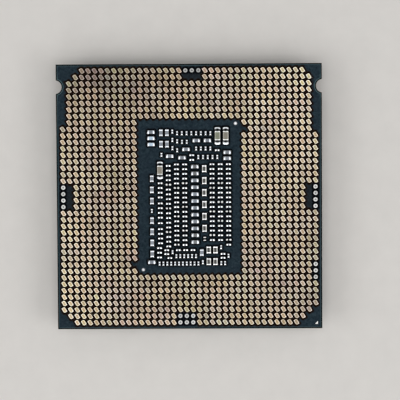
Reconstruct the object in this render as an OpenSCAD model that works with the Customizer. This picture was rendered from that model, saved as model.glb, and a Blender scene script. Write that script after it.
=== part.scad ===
// Land-grid processor package, lying on its heat spreader with its lands up.
// X runs across the package, Y towards the notched end, Z from the heat spreader to the lands.
// The origin is the centre of the heat spreader's cooler face. All sizes are in millimetres.

/* [Land grid] */
// Spacing of the lands in both directions
land_pitch = 0.9144; // [0.88:0.0001:1]
// Length of one land along its slanted axis
land_l = 0.84; // [0.75:0.01:0.92]
// Width of one land across its slanted axis
land_w = 0.58; // [0.5:0.01:0.62]
// Radius of the two rounded corners of each land
land_r = 0.25; // [0.15:0.01:0.28]
// Angle of the lands' long axis from X
land_tilt = -59; // [-62:1:-48]
// Height of the lands above the mask
land_t = 0.03; // [0.02:0.005:0.06]
// Diameter of the round test pads that stand in for lands
test_pad_d = 0.63; // [0.45:0.01:0.75]

/* [Substrate] */
// Distance from the outermost land centres to the package edge
edge_margin = 0.92; // [0.8:0.01:1.4]
// Thickness of the laminate with its mask
substrate_t = 1.1; // [0.8:0.05:1.4]
// Width of the bare border outside the mask
mask_inset = 0.17; // [0.1:0.01:0.3]
// Depth of the step at the mask's edge
mask_step = 0.03; // [0.02:0.005:0.06]
// Radius of the two alignment notches
notch_r = 0.95; // [0.8:0.01:1.1]
// Depth of each notch from the package edge
notch_depth = 0.82; // [0.5:0.01:0.9]
// Distance of the notches from the package's middle
notch_y = 15.56; // [14:0.01:16]

/* [Marks] */
// Diameter of the two alignment dots in the capacitor window
fiducial_d = 0.52; // [0.4:0.01:0.8]
// Distance of each dot from the land centres beside it
fiducial_inset_x = 1.2; // [0.9:0.01:1.3]
// Distance of each dot from the land centres beyond it
fiducial_inset_y = 1.1; // [0.9:0.01:1.3]
// Thickness of the printed and plated marks
mark_t = 0.02; // [0.01:0.005:0.04]
// Length of the printed corner mark's two legs
corner_mark_l = 0.4; // [0.3:0.01:0.6]
// Length of the plated triangle's legs on the heat spreader side
plated_mark_l = 1.6; // [1:0.1:2]
// Distance of both corner marks from the package edges
corner_mark_inset = 0.63; // [0.4:0.01:1]

/* [Heat spreader] */
// Height from the cooler face to the sealing rim
lid_h = 3.1; // [2.8:0.05:3.6]
// Distance of the raised face from the left and right package edges
face_inset_x = 4.75; // [4:0.05:6]
// Distance of the raised face from the near and far package edges
face_inset_y = 3.25; // [2.5:0.05:4]
// Corner radius of the raised face
face_r = 1.2; // [0.6:0.1:2]
// Chamfer round the raised face
face_chamfer = 0.25; // [0.1:0.05:0.4]
// Distance of the clamping wings from the left and right package edges
wing_inset = 1.75; // [1.2:0.05:2.5]
// Length of each wing along the package edge
wing_l = 21; // [16:0.5:24]
// Corner radius of the wings
wing_r = 1.4; // [0.8:0.1:2]
// Height from the cooler face up to the wings' clamping face
wing_drop = 1.3; // [1:0.05:1.6]
// Width of the sealing rim round the inner cavity
rim_w = 3; // [2.5:0.1:4]
// Corner radius of the inner cavity
cavity_r = 1.5; // [0.8:0.1:2.5]

/* [Sealant] */
// Thickness of the sealant between the rim and the substrate
sealant_t = 0.15; // [0.08:0.01:0.25]
// Width of the sealant bead
sealant_w = 1.6; // [1:0.1:2]
// Distance of the bead from the outer edge of the raised face
sealant_inset = 0.7; // [0.4:0.05:1]
// Length of the vent gap left in the bead
vent_l = 3; // [2:0.1:5]

/* [Silicon] */
// Width of the die
die_w = 9.2; // [7:0.1:12]
// Length of the die
die_l = 16.4; // [12:0.1:20]
// Thickness of the die
die_t = 0.8; // [0.6:0.01:0.9]
// Height of the solder bumps between the die and the substrate
bump_h = 0.08; // [0.05:0.01:0.1]
// Width of the underfill fillet round the die
underfill_w = 0.6; // [0.3:0.05:1]
// Height that the underfill climbs up the die's sides
underfill_rise = 0.35; // [0.2:0.05:0.5]
// Thickness of the thermal interface between the die and the heat spreader
interface_t = 0.2; // [0.1:0.01:0.3]

/* [Chip capacitors] */
// Distance that all capacitors sit to the right of the lands' middle
capacitor_shift_x = 0.02; // [-0.1:0.005:0.1]
// Distance that all capacitors sit off the lands' middle, towards the notches
capacitor_shift_y = 0.025; // [-0.1:0.005:0.1]
// Length of a small capacitor
small_l = 0.6; // [0.5:0.01:0.7]
// Width of a small capacitor
small_w = 0.3; // [0.25:0.01:0.36]
// Height of a small capacitor
small_h = 0.3; // [0.2:0.01:0.4]
// Length of a small capacitor's end terminals
small_term = 0.17; // [0.1:0.01:0.22]
// Reach of the solder beyond a small capacitor's ends
small_toe = 0.09; // [0.05:0.01:0.14]
// Clear gap between the small capacitors of one column
small_gap = 0.37; // [0.25:0.01:0.45]
// Clear gap between the solder of two neighbouring columns
column_gap = 0.375; // [0.25:0.005:0.5]
// Length of a medium capacitor
medium_l = 1; // [0.85:0.01:1.1]
// Width of a medium capacitor
medium_w = 0.55; // [0.45:0.01:0.62]
// Height of a medium capacitor
medium_h = 0.5; // [0.35:0.01:0.6]
// Length of a medium capacitor's end terminals
medium_term = 0.23; // [0.15:0.01:0.32]
// Reach of the solder beyond a medium capacitor's ends
medium_toe = 0.08; // [0.05:0.01:0.14]
// Length of a broad capacitor
broad_l = 1; // [0.9:0.01:1.15]
// Width of a broad capacitor
broad_w = 0.64; // [0.55:0.01:0.7]
// Height of a broad capacitor
broad_h = 0.55; // [0.4:0.01:0.65]
// Length of a broad capacitor's end terminals
broad_term = 0.16; // [0.12:0.01:0.32]
// Reach of the solder beyond a broad capacitor's ends
broad_toe = 0.07; // [0.05:0.01:0.14]
// Length of a bulk capacitor
bulk_l = 1.4; // [1.2:0.01:1.6]
// Width of a bulk capacitor
bulk_w = 0.82; // [0.7:0.01:0.9]
// Height of a bulk capacitor
bulk_h = 0.55; // [0.4:0.01:0.7]
// Length of a bulk capacitor's end terminals
bulk_term = 0.2; // [0.15:0.01:0.35]
// Reach of the solder beyond a bulk capacitor's ends
bulk_toe = 0.56; // [0.4:0.01:0.6]
// Thickness of the solder under the terminals
solder_t = 0.03; // [0.02:0.005:0.06]
// Amount that the solder stands out beside the terminals
solder_side = 0.01; // [0.005:0.005:0.04]
// Distance from the top of a terminal down to the top of its solder
solder_drop = 0.1; // [0.08:0.01:0.15]
// Amount that the terminals stand out from the ceramic
term_skin = 0.012; // [0.005:0.001:0.02]
// Diameter of the solder bumps on a site that holds no capacitor
bare_bump_d = 0.34; // [0.25:0.01:0.4]
// Height of those bumps
bare_bump_h = 0.09; // [0.05:0.01:0.14]
// Distance between the two bumps' centres
bare_bump_pitch = 0.48; // [0.42:0.01:0.6]
// Length of the solder bars on the one site that has bars in place of bumps
bare_bar_l = 0.41; // [0.3:0.01:0.5]
// Width of those bars
bare_bar_w = 0.22; // [0.15:0.01:0.3]
// Distance between the two bars' centres
bare_bar_pitch = 0.41; // [0.35:0.01:0.5]

/* [Hidden] */
$fn = 32;
// Lands along each side of the full grid
grid_n = 40;
grid_mid = (grid_n - 1) / 2;
package_w = (grid_n - 1) * land_pitch + 2 * edge_margin;

// Heights of the stack, from the cooler face up
substrate_z = lid_h + sealant_t;
mask_z = substrate_z + substrate_t;
die_top_z = substrate_z - bump_h;
die_z = die_top_z - die_t;
interface_z = die_z - interface_t;
// Middle of the land field on the mask
FIELD = [0, 0, mask_z];
// Middle of the capacitors' places on the mask
CAPACITOR_FIELD = FIELD + [capacitor_shift_x, capacitor_shift_y, 0];

// Raised face, wings and cavity of the heat spreader
face_w = package_w - 2 * face_inset_x;
face_l = package_w - 2 * face_inset_y;
wing_span = package_w - 2 * wing_inset;

// First and last column and row of each block of cells that has no land
WINDOW_CELLS = [12, 27, 8, 31];
BARE_CELLS = [
    WINDOW_CELLS,
    [0, 2, 0, 0], [0, 1, 1, 1], [0, 0, 2, 8],
    [38, 39, 0, 0], [39, 39, 1, 9],
    [19, 21, 0, 1],
    [0, 1, 18, 21], [38, 39, 18, 21], [39, 39, 30, 32],
    [39, 39, 37, 37], [38, 39, 38, 38], [37, 39, 39, 39],
    [0, 0, 38, 38], [0, 1, 39, 39],
    [18, 20, 38, 39],
    [28, 28, 9, 9], [11, 11, 30, 30],
];
// Bare cells that hold a round test pad
TEST_PAD_CELLS = [
    [19, 21, 0, 0], [0, 0, 18, 21], [39, 39, 18, 21], [39, 39, 30, 32], [18, 20, 38, 39],
];

// Sizes of each capacitor: length, width, height, terminal length, solder reach
SMALL = [small_l, small_w, small_h, small_term, small_toe];
MEDIUM = [medium_l, medium_w, medium_h, medium_term, medium_toe];
BROAD = [broad_l, broad_w, broad_h, broad_term, broad_toe];
BULK = [bulk_l, bulk_w, bulk_h, bulk_term, bulk_toe];

// Spacing within a column of small capacitors, and from column to column
small_pitch = small_w + small_gap;
column_pitch = small_l + 2 * small_toe + column_gap;
// Innermost columns of the two banks, and the height where their rows start
west_x = -0.66;
east_x = 3.21;
bank_y = 4.58;

// Capacitor runs: x, y of the first, step in x and y, count, turn, and the places left bare
SMALL_WEST_RUNS = [
    [west_x, bank_y, 0, -small_pitch, 18, 0, [4, 9, 14]],
    [west_x - column_pitch, bank_y, 0, -small_pitch, 18, 0, [5, 11, 17]],
    [west_x - 2 * column_pitch, bank_y - 0.2, 0, -small_pitch, 18, 0, [4, 9, 14]],
    [west_x - 3 * column_pitch, 1.93, 0, -small_pitch, 4, 0, []],
    [west_x - 3 * column_pitch, -0.92, 0, -small_pitch, 4, 0, []],
    [west_x - 3 * column_pitch, -3.72, 0, -small_pitch, 1, 0, []],
    [west_x - 3 * column_pitch, -4.55, 0, -small_pitch, 4, 0, []],
    [-4.27, -7.24, 0, -small_pitch, 3, 0, []],
    [-5.32, -1.98, 0, 0, 1, 90, []],
];
SMALL_EAST_RUNS = [
    [east_x, bank_y, 0, -small_pitch, 17, 0, [5, 10, 15]],
    [east_x + column_pitch, bank_y, 0, -small_pitch, 17, 0, [4, 8, 12]],
    [east_x + 2 * column_pitch, bank_y, 0, -small_pitch, 18, 0, [5, 10, 16]],
];
SMALL_UPPER_RUNS = [
    [-1.69, 8.97, small_pitch, -0.005, 8, 90, []],
    [-2.36, 9.2, 0, -1.17, 3, 90, []],
    [-1.69, 7.83, 0, -1.27, 2, 90, []],
    [-1, 7.75, small_pitch, 0, 2, 90, []],
    [0.98, 6.8, small_pitch, 0, 4, 90, []],
    [1.28, 5.6, small_pitch, 0, 5, 90, []],
    [-3.91, 5.94, 0, 0, 1, 90, []],
    [3.95, 6.55, 0, 0, 1, 0, []],
    [0.36, 5.87, 0, -small_pitch, 2, 0, []],
];
SMALL_LOWER_RUNS = [
    [-4.28, -9.46, 0.55, 0, 11, 90, []],
    [-1.9, -8.41, 0.555, 0, 6, 90, []],
    [-2.43, -7.83, 0, 0, 1, 90, []],
    [1.85, -9.28, 0, 0, 1, 90, []],
    [4.45, -9.42, 0.54, 0, 2, 90, []],
    [4.44, -7.16, 0, 0, 1, 90, []],
    [5.48, -8.38, 0, 0, 1, 90, []],
    [-3.25, -7.55, 0, -0.55, 2, 0, []],
    [-2.82, -8.66, 0, 0, 1, 0, []],
    [-1.62, -7.55, 1.04, 0, 3, 0, []],
    [4.7, -8.11, 0, -0.55, 2, 0, []],
];
MEDIUM_RUNS = [
    [0.79, 4.25, 0, -0.97, 12, 0, []],
    [-5.37, 9.14, 0, -0.87, 3, 0, []],
    [1.01, 7.93, 1.57, 0, 2, 0, []],
    [-0.44, 6.69, 0, 0, 1, 0, []],
    [5.36, 6.25, 0, -0.85, 2, 0, []],
    [-2.74, 5.74, 0, 0, 1, 0, []],
    [-1.01, 5.52, 0, 0, 1, 0, []],
    [-5.37, -9.25, 0, 0, 1, 0, []],
    [-3.96, 9.04, 0, -1.61, 2, 90, []],
    [-3.12, 9.04, 0, -1.61, 2, 90, []],
    [-5.29, 2.57, 0, -1.575, 3, 90, []],
    [-5.3, -3.35, 0, -1.575, 4, 90, []],
    [1.71, -7.91, 0, 0, 1, 90, []],
];
BROAD_RUNS = [
    [2.12, 3.95, 0, -1.686, 6, 90, []],
    [2.69, -7.55, 0, -1.65, 2, 90, []],
    [3.64, -7.55, 0, -1.65, 2, 90, []],
];
BULK_RUNS = [
    [4.01, 8.59, 1.16, 0, 2, 90, []],
    [-4.14, 3.76, 0, 0, 1, 90, []],
];
// Single bare site with bars, below the broad capacitors' column
BARE_SITE = [2.13, -6, 0];

LAMINATE = [0.13, 0.17, 0.2];
NICKEL = [0.76, 0.75, 0.72];
SEALANT = [0.1, 0.1, 0.1];
INTERFACE = [0.6, 0.61, 0.63];
SILICON = [0.3, 0.32, 0.37];
UNDERFILL = [0.2, 0.18, 0.16];
GOLD = [0.76, 0.68, 0.52];
TIN = [0.78, 0.78, 0.77];
SOLDER = [0.84, 0.84, 0.83];
CERAMIC = [0.5, 0.46, 0.38];
WHITE_INK = [0.92, 0.92, 0.9];

// Centre of the cell in column c and row r from the field's middle, with row 0 at the far edge
function cell(c, r) = [(c - grid_mid) * land_pitch, (grid_mid - r) * land_pitch, 0];
function in_block(c, r, b) = c >= b[0] && c <= b[1] && r >= b[2] && r <= b[3];
function is_land(c, r) = len([for (b = BARE_CELLS) if (in_block(c, r, b)) 1]) == 0;
// Places of a run, either those that hold a capacitor or those left bare
function filled(run) = [for (i = [0:run[4] - 1]) if (len(search(i, run[6])) == 0) run_place(run, i)];
function bare(run) = [for (i = run[6]) run_place(run, i)];
function run_place(run, i) = [run[0] + i * run[2], run[1] + i * run[3], 0];

// Rectangle of w by l with rounded corners, centred on the origin
module rounded_rectangle(w, l, r) {
    square([w - 2 * r, l], center = true);
    square([w, l - 2 * r], center = true);
    for (sx = [-1, 1])
        for (sy = [-1, 1])
            translate([sx * (w / 2 - r), sy * (l / 2 - r)])
                circle(r);
}

// Package outline with its two notches, drawn in by an inset
module package_outline(inset) {
    difference() {
        square(package_w - 2 * inset, center = true);
        for (side = [-1, 1])
            translate([side * (package_w / 2 + notch_r - notch_depth), notch_y])
                circle(notch_r + inset);
    }
}

module package_substrate() {
    color(LAMINATE) {
        translate([0, 0, substrate_z])
            linear_extrude(substrate_t - mask_step)
                package_outline(0);
        translate([0, 0, mask_z - mask_step])
            linear_extrude(mask_step)
                package_outline(mask_inset);
    }
}

// Side profile of the raised face's block, w wide, with its chamfer at the cooler face
module chamfered_profile(w) {
    half = w / 2;
    polygon([
        [-half + face_chamfer, 0], [half - face_chamfer, 0], [half, face_chamfer],
        [half, lid_h], [-half, lid_h], [-half, face_chamfer],
    ]);
}

module raised_block() {
    intersection() {
        linear_extrude(lid_h)
            rounded_rectangle(face_w, face_l, face_r);
        translate([0, face_l / 2, 0])
            rotate([90, 0, 0])
                linear_extrude(face_l)
                    chamfered_profile(face_w);
        translate([-face_w / 2, 0, 0])
            rotate([90, 0, 90])
                linear_extrude(face_w)
                    chamfered_profile(face_l);
    }
}

module heat_spreader() {
    color(NICKEL)
        difference() {
            union() {
                raised_block();
                translate([0, 0, wing_drop])
                    linear_extrude(lid_h - wing_drop)
                        rounded_rectangle(wing_span, wing_l, wing_r);
            }
            translate([0, 0, interface_z])
                linear_extrude(lid_h)
                    rounded_rectangle(face_w - 2 * rim_w, face_l - 2 * rim_w, cavity_r);
        }
}

module lid_sealant() {
    outer_w = face_w - 2 * sealant_inset;
    outer_l = face_l - 2 * sealant_inset;
    color(SEALANT)
        translate([0, 0, lid_h])
            linear_extrude(sealant_t)
                difference() {
                    square([outer_w, outer_l], center = true);
                    square([outer_w - 2 * sealant_w, outer_l - 2 * sealant_w], center = true);
                    translate([0, outer_l / 2])
                        square([vent_l, 4 * sealant_w], center = true);
                }
}

module thermal_interface() {
    color(INTERFACE)
        translate([-die_w / 2, -die_l / 2, interface_z])
            cube([die_w, die_l, interface_t]);
}

module silicon_die() {
    color(SILICON)
        translate([-die_w / 2, -die_l / 2, die_z])
            cube([die_w, die_l, die_t]);
}

// Side profile of the underfill along one side of the die, widest at the substrate
module underfill_profile(w) {
    top = w / 2;
    foot = w / 2 + underfill_w;
    polygon([[-foot, 0], [foot, 0], [top, -bump_h - underfill_rise], [-top, -bump_h - underfill_rise]]);
}

module die_underfill() {
    span = die_l + 2 * underfill_w;
    color(UNDERFILL)
        translate([0, 0, substrate_z])
            difference() {
                intersection() {
                    translate([0, span / 2, 0])
                        rotate([90, 0, 0])
                            linear_extrude(span)
                                underfill_profile(die_w);
                    translate([-span / 2, 0, 0])
                        rotate([90, 0, 90])
                            linear_extrude(span)
                                underfill_profile(die_l);
                }
                translate([-die_w / 2, -die_l / 2, -bump_h - die_t])
                    cube([die_w, die_l, die_t]);
            }
}

// One land: a bar with two opposite corners rounded, which lies slanted in its cell
module land() {
    linear_extrude(land_t)
        rotate(land_tilt)
            difference() {
                square([land_l, land_w], center = true);
                for (turn = [0, 180])
                    rotate(turn)
                        translate([land_l / 2 - land_r, land_r - land_w / 2])
                            difference() {
                                translate([0, -2 * land_r])
                                    square(2 * land_r);
                                circle(land_r);
                            }
            }
}

// All lands from one column and row to another
module land_field(first_column, last_column, first_row, last_row) {
    color(GOLD)
        for (r = [first_row:last_row])
            for (c = [first_column:last_column])
                if (is_land(c, r))
                    translate(cell(c, r) + FIELD)
                        land();
}

module contact_lands_north() {
    land_field(0, grid_n - 1, 0, WINDOW_CELLS[2] - 1);
}

module contact_lands_south() {
    land_field(0, grid_n - 1, WINDOW_CELLS[3] + 1, grid_n - 1);
}

module contact_lands_west() {
    land_field(0, WINDOW_CELLS[0] - 1, WINDOW_CELLS[2], WINDOW_CELLS[3]);
}

module contact_lands_east() {
    land_field(WINDOW_CELLS[1] + 1, grid_n - 1, WINDOW_CELLS[2], WINDOW_CELLS[3]);
}

module test_pads() {
    color(TIN)
        for (b = TEST_PAD_CELLS)
            for (r = [b[2]:b[3]])
                for (c = [b[0]:b[1]])
                    translate(cell(c, r) + FIELD)
                        cylinder(d = test_pad_d, h = land_t);
}

// Dots at the far right and near left corners of the capacitor window
module fiducial_marks() {
    right_corner = cell(WINDOW_CELLS[1] + 1, WINDOW_CELLS[2] - 1);
    color(TIN)
        for (side = [-1, 1])
            translate([
                side * (right_corner[0] - fiducial_inset_x), side * (right_corner[1] - fiducial_inset_y), 0
            ] + FIELD)
                cylinder(d = fiducial_d, h = mark_t);
}

// Right-angled triangle in the package's first-contact corner
module corner_triangle(leg) {
    corner = package_w / 2 - corner_mark_inset;
    translate([corner, -corner])
        polygon([[0, 0], [0, leg], [-leg, 0]]);
}

module printed_corner_mark() {
    color(WHITE_INK)
        translate([0, 0, mask_z])
            linear_extrude(mark_t)
                corner_triangle(corner_mark_l);
}

module plated_corner_mark() {
    color(GOLD)
        translate([0, 0, substrate_z - mark_t])
            linear_extrude(mark_t)
                corner_triangle(plated_mark_l);
}

// Ceramic middle of one capacitor, which lies along X on the mask
module capacitor_body(s) {
    clear_l = s[0] - 2 * s[3];
    translate([-clear_l / 2, -s[1] / 2 + term_skin, solder_t + term_skin])
        cube([clear_l, s[1] - 2 * term_skin, s[2] - 2 * term_skin]);
}

// Plated blocks at both ends of one capacitor
module capacitor_terminals(s) {
    for (end = [-1, 1])
        translate([end * (s[0] - s[3]) / 2 - s[3] / 2, -s[1] / 2, solder_t])
            cube([s[3], s[1], s[2]]);
}

// Solder under both terminals, rising steeply up their ends from the toe
module capacitor_solder(s) {
    rise = solder_t + s[2] - solder_drop;
    for (turn = [0, 180])
        rotate(turn)
            translate([s[0] / 2, s[1] / 2 + solder_side, 0])
                rotate([90, 0, 0])
                    linear_extrude(s[1] + 2 * solder_side)
                        polygon([
                            [-s[3], 0], [s[4], 0], [s[4], solder_t],
                            [s[4] / 3, rise / 3], [0, rise], [0, solder_t], [-s[3], solder_t],
                        ]);
}

// Two low domes of solder on a site that holds no capacitor
module bare_bumps() {
    dome_r = (pow(bare_bump_d / 2, 2) + pow(bare_bump_h, 2)) / (2 * bare_bump_h);
    for (end = [-1, 1])
        translate([end * bare_bump_pitch / 2, 0, 0])
            intersection() {
                translate([0, 0, bare_bump_h - dome_r])
                    sphere(dome_r);
                cylinder(d = bare_bump_d, h = bare_bump_h);
            }
}

// Two low arched bars of solder on the site that has bars
module bare_bars() {
    arch_r = (pow(bare_bar_w / 2, 2) + pow(bare_bump_h, 2)) / (2 * bare_bump_h);
    for (end = [-1, 1])
        translate([-bare_bar_l / 2, end * bare_bar_pitch / 2, 0])
            rotate([90, 0, 90])
                linear_extrude(bare_bar_l)
                    intersection() {
                        translate([0, bare_bump_h - arch_r])
                            circle(arch_r);
                        translate([-bare_bar_w / 2, 0])
                            square([bare_bar_w, bare_bump_h]);
                    }
}

// Puts the child at every filled place of the runs
module at_filled(runs) {
    for (run = runs)
        for (p = filled(run))
            translate(p + CAPACITOR_FIELD)
                rotate(run[5])
                    children();
}

module bulk_capacitor_bodies() {
    color(CERAMIC) at_filled(BULK_RUNS) capacitor_body(BULK);
}

module bulk_capacitor_terminals() {
    color(TIN) at_filled(BULK_RUNS) capacitor_terminals(BULK);
}

module bulk_capacitor_solder() {
    color(SOLDER) at_filled(BULK_RUNS) capacitor_solder(BULK);
}

module broad_capacitor_bodies() {
    color(CERAMIC) at_filled(BROAD_RUNS) capacitor_body(BROAD);
}

module broad_capacitor_terminals() {
    color(TIN) at_filled(BROAD_RUNS) capacitor_terminals(BROAD);
}

module broad_capacitor_solder() {
    color(SOLDER) at_filled(BROAD_RUNS) capacitor_solder(BROAD);
}

module medium_capacitor_bodies() {
    color(CERAMIC) at_filled(MEDIUM_RUNS) capacitor_body(MEDIUM);
}

module medium_capacitor_terminals() {
    color(TIN) at_filled(MEDIUM_RUNS) capacitor_terminals(MEDIUM);
}

module medium_capacitor_solder() {
    color(SOLDER) at_filled(MEDIUM_RUNS) capacitor_solder(MEDIUM);
}

module small_capacitor_bodies(runs) {
    color(CERAMIC) at_filled(runs) capacitor_body(SMALL);
}

module small_capacitor_terminals(runs) {
    color(TIN) at_filled(runs) capacitor_terminals(SMALL);
}

module small_capacitor_solder(runs) {
    color(SOLDER) at_filled(runs) capacitor_solder(SMALL);
}

module bare_site_solder() {
    color(SOLDER) {
        for (run = concat(SMALL_WEST_RUNS, SMALL_EAST_RUNS))
            for (p = bare(run))
                translate(p + CAPACITOR_FIELD)
                    rotate(run[5])
                        bare_bumps();
        translate(BARE_SITE + CAPACITOR_FIELD)
            bare_bars();
    }
}

package_substrate();
heat_spreader();
lid_sealant();
thermal_interface();
silicon_die();
die_underfill();
contact_lands_north();
contact_lands_south();
contact_lands_west();
contact_lands_east();
test_pads();
fiducial_marks();
printed_corner_mark();
plated_corner_mark();
bulk_capacitor_bodies();
bulk_capacitor_terminals();
bulk_capacitor_solder();
broad_capacitor_bodies();
broad_capacitor_terminals();
broad_capacitor_solder();
medium_capacitor_bodies();
medium_capacitor_terminals();
medium_capacitor_solder();
small_capacitor_bodies(SMALL_UPPER_RUNS);  // small_capacitor_bodies_upper
small_capacitor_terminals(SMALL_UPPER_RUNS);  // small_capacitor_terminals_upper
small_capacitor_solder(SMALL_UPPER_RUNS);  // small_capacitor_solder_upper
small_capacitor_bodies(SMALL_WEST_RUNS);  // small_capacitor_bodies_west
small_capacitor_terminals(SMALL_WEST_RUNS);  // small_capacitor_terminals_west
small_capacitor_solder(SMALL_WEST_RUNS);  // small_capacitor_solder_west
small_capacitor_bodies(SMALL_EAST_RUNS);  // small_capacitor_bodies_east
small_capacitor_terminals(SMALL_EAST_RUNS);  // small_capacitor_terminals_east
small_capacitor_solder(SMALL_EAST_RUNS);  // small_capacitor_solder_east
small_capacitor_bodies(SMALL_LOWER_RUNS);  // small_capacitor_bodies_lower
small_capacitor_terminals(SMALL_LOWER_RUNS);  // small_capacitor_terminals_lower
small_capacitor_solder(SMALL_LOWER_RUNS);  // small_capacitor_solder_lower
bare_site_solder();
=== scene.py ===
"""Looks of a land-grid processor package, built on its CAD frame, with floor, light and camera."""

import math

import bmesh
import bpy
import numpy as np
from mathutils import Matrix, Vector


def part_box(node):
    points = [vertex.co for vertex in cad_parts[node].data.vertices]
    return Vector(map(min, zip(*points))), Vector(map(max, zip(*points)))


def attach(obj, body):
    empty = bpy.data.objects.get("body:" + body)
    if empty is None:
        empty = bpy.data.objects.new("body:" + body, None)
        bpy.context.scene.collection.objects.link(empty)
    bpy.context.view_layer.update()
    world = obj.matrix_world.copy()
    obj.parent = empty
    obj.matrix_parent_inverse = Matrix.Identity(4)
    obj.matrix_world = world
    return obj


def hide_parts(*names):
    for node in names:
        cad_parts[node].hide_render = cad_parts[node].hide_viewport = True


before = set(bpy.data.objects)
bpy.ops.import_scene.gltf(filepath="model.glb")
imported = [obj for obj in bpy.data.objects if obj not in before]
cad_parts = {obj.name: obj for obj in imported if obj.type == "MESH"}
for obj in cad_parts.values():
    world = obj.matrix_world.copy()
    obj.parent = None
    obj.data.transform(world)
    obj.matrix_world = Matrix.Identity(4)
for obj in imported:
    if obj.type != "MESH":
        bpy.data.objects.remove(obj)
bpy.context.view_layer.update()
scene = bpy.context.scene

MM = 0.001
# Land grid, as in the CAD source
GRID = 40
PITCH = 0.9144 * MM
FIELD_HALF = (GRID - 1) / 2 * PITCH
# Middle of the land field in Y
FIELD_Y = (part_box("contact_lands_north")[1].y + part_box("contact_lands_south")[0].y) / 2
# Top of the solder mask
MASK_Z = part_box("package_substrate")[1].z
# Vertices closer together than this are one
WELD = 0.0005 * MM
# Edges sharper than this stay sharp in the shading
SHARP_ANGLE = math.radians(60)


def linear_array(colours):
    """Linear colours, with alpha, of an array of sRGB colours given as 0 to 255."""
    c = np.clip(np.asarray(colours, float) / 255, 0, 1)
    rgb = np.where(c <= 0.04045, c / 12.92, ((c + 0.055) / 1.055) ** 2.4)
    return np.concatenate([rgb, np.ones((len(rgb), 1))], 1)


def linear(r, g, b):
    """Linear colour, with alpha, of one sRGB colour given as 0 to 255."""
    return linear_array([(r, g, b)])[0].tolist()


def ramp(value, start, end):
    """0 up to start, 1 from end on, and an even rise between them."""
    return np.clip((value - start) / (end - start), 0, 1)


def positions(mesh):
    """Places of a mesh's vertices, as an array of shape (n, 3)."""
    co = np.zeros(len(mesh.vertices) * 3)
    mesh.vertices.foreach_get("co", co)
    return co.reshape(-1, 3)


def islands(cad_node):
    """The low and high corners of each separate solid in a CAD node, as an array of shape (n, 2, 3)."""
    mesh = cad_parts[cad_node].data
    co = positions(mesh)
    ends = np.zeros(len(mesh.edges) * 2, np.int32)
    mesh.edges.foreach_get("vertices", ends)
    keys = np.round(co / WELD).astype(np.int64)
    _, weld = np.unique(keys, axis=0, return_inverse=True)
    weld = weld.reshape(-1)
    pairs = weld[ends].reshape(-1, 2)
    group = np.arange(weld.max() + 1)
    while True:
        low = group[pairs].min(1)
        joined = group.copy()
        np.minimum.at(joined, pairs[:, 0], low)
        np.minimum.at(joined, pairs[:, 1], low)
        joined = joined[joined]
        if (joined == group).all():
            break
        group = joined
    owner = group[weld]
    return np.array([(co[owner == g].min(0), co[owner == g].max(0)) for g in np.unique(group)])


def footing(low, high):
    """Middle of a box's bottom."""
    return np.array([*(low + high)[:2] / 2, low[2]])


def set_tints(mesh, tints):
    """Gives each vertex of a mesh its tint, which the paints read."""
    layer = mesh.color_attributes.new("tint", "FLOAT_COLOR", "POINT")
    layer.data.foreach_set("color", np.asarray(tints, np.float32).ravel())


def place_piece(name, mesh, paint, cad_node):
    """A painted piece that rides on the body and stands for a CAD node."""
    mesh.materials.append(PAINT[paint])
    piece = bpy.data.objects.new(name, mesh)
    scene.collection.objects.link(piece)
    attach(piece, "root")
    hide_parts(cad_node)


def add_piece(name, shapes, paint, cad_node):
    """A piece that joins shapes, each given as its vertices, faces and tints."""
    verts, faces, tints = [], [], []
    for shape_verts, shape_faces, shape_tints in shapes:
        start = len(verts)
        verts.extend(map(tuple, shape_verts))
        faces.extend([tuple(start + i for i in face) for face in shape_faces])
        tints.extend(map(tuple, shape_tints))
    mesh = bpy.data.meshes.new(name)
    mesh.from_pydata(verts, [], faces)
    mesh.validate()
    mesh.polygons.foreach_set("use_smooth", [True] * len(mesh.polygons))
    mesh.set_sharp_from_angle(angle=SHARP_ANGLE)
    set_tints(mesh, tints)
    place_piece(name, mesh, paint, cad_node)


# Paints

# The part of a noise's range that most of it fills
NOISE_SPAN = (0.3, 0.7)


def new_paint(name, colour, roughness, metallic=0.0, specular=0.5):
    """A material and its main shader, with the shader's constants set."""
    paint = bpy.data.materials.new(name)
    paint.use_nodes = True
    shader = paint.node_tree.nodes["Principled BSDF"]
    keys = ("Base Color", "Roughness", "Metallic", "Specular IOR Level")
    for key, value in zip(keys, (colour, roughness, metallic, specular)):
        shader.inputs[key].default_value = value
    return paint, shader


def node(paint, kind, **values):
    """A shader node with its properties and input values set."""
    made = paint.node_tree.nodes.new(kind)
    for key, value in values.items():
        if hasattr(made, key):
            setattr(made, key, value)
        else:
            made.inputs[key].default_value = value
    return made


def wire(paint, given, socket):
    """Links an output to a socket, or sets the socket to a constant."""
    if isinstance(given, (float, int, list)):
        socket.default_value = given
    else:
        paint.node_tree.links.new(given, socket)


def grain(paint, size_mm, detail=3.0, roughness=0.55, stretch=(1, 1, 1)):
    """Noise in the part's own coordinates, from 0 to 1, with features about size_mm wide."""
    place = node(paint, "ShaderNodeTexCoord")
    scale = node(paint, "ShaderNodeMapping", Scale=stretch)
    noise = node(paint, "ShaderNodeTexNoise", Scale=1 / (size_mm * MM), Detail=detail, Roughness=roughness)
    wire(paint, place.outputs["Object"], scale.inputs["Vector"])
    wire(paint, scale.outputs["Vector"], noise.inputs["Vector"])
    return noise.outputs["Fac"]


def span(paint, value, low, high, to_low, to_high):
    """value from low..high to to_low..to_high, clamped."""
    made = node(paint, "ShaderNodeMapRange")
    for socket, given in zip(made.inputs, (value, low, high, to_low, to_high)):
        wire(paint, given, socket)
    return made.outputs[0]


def calc(paint, operation, *terms):
    """Result of an operation on constants and outputs."""
    made = node(paint, "ShaderNodeMath", operation=operation)
    for socket, given in zip(made.inputs, terms):
        wire(paint, given, socket)
    return made.outputs[0]


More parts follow.
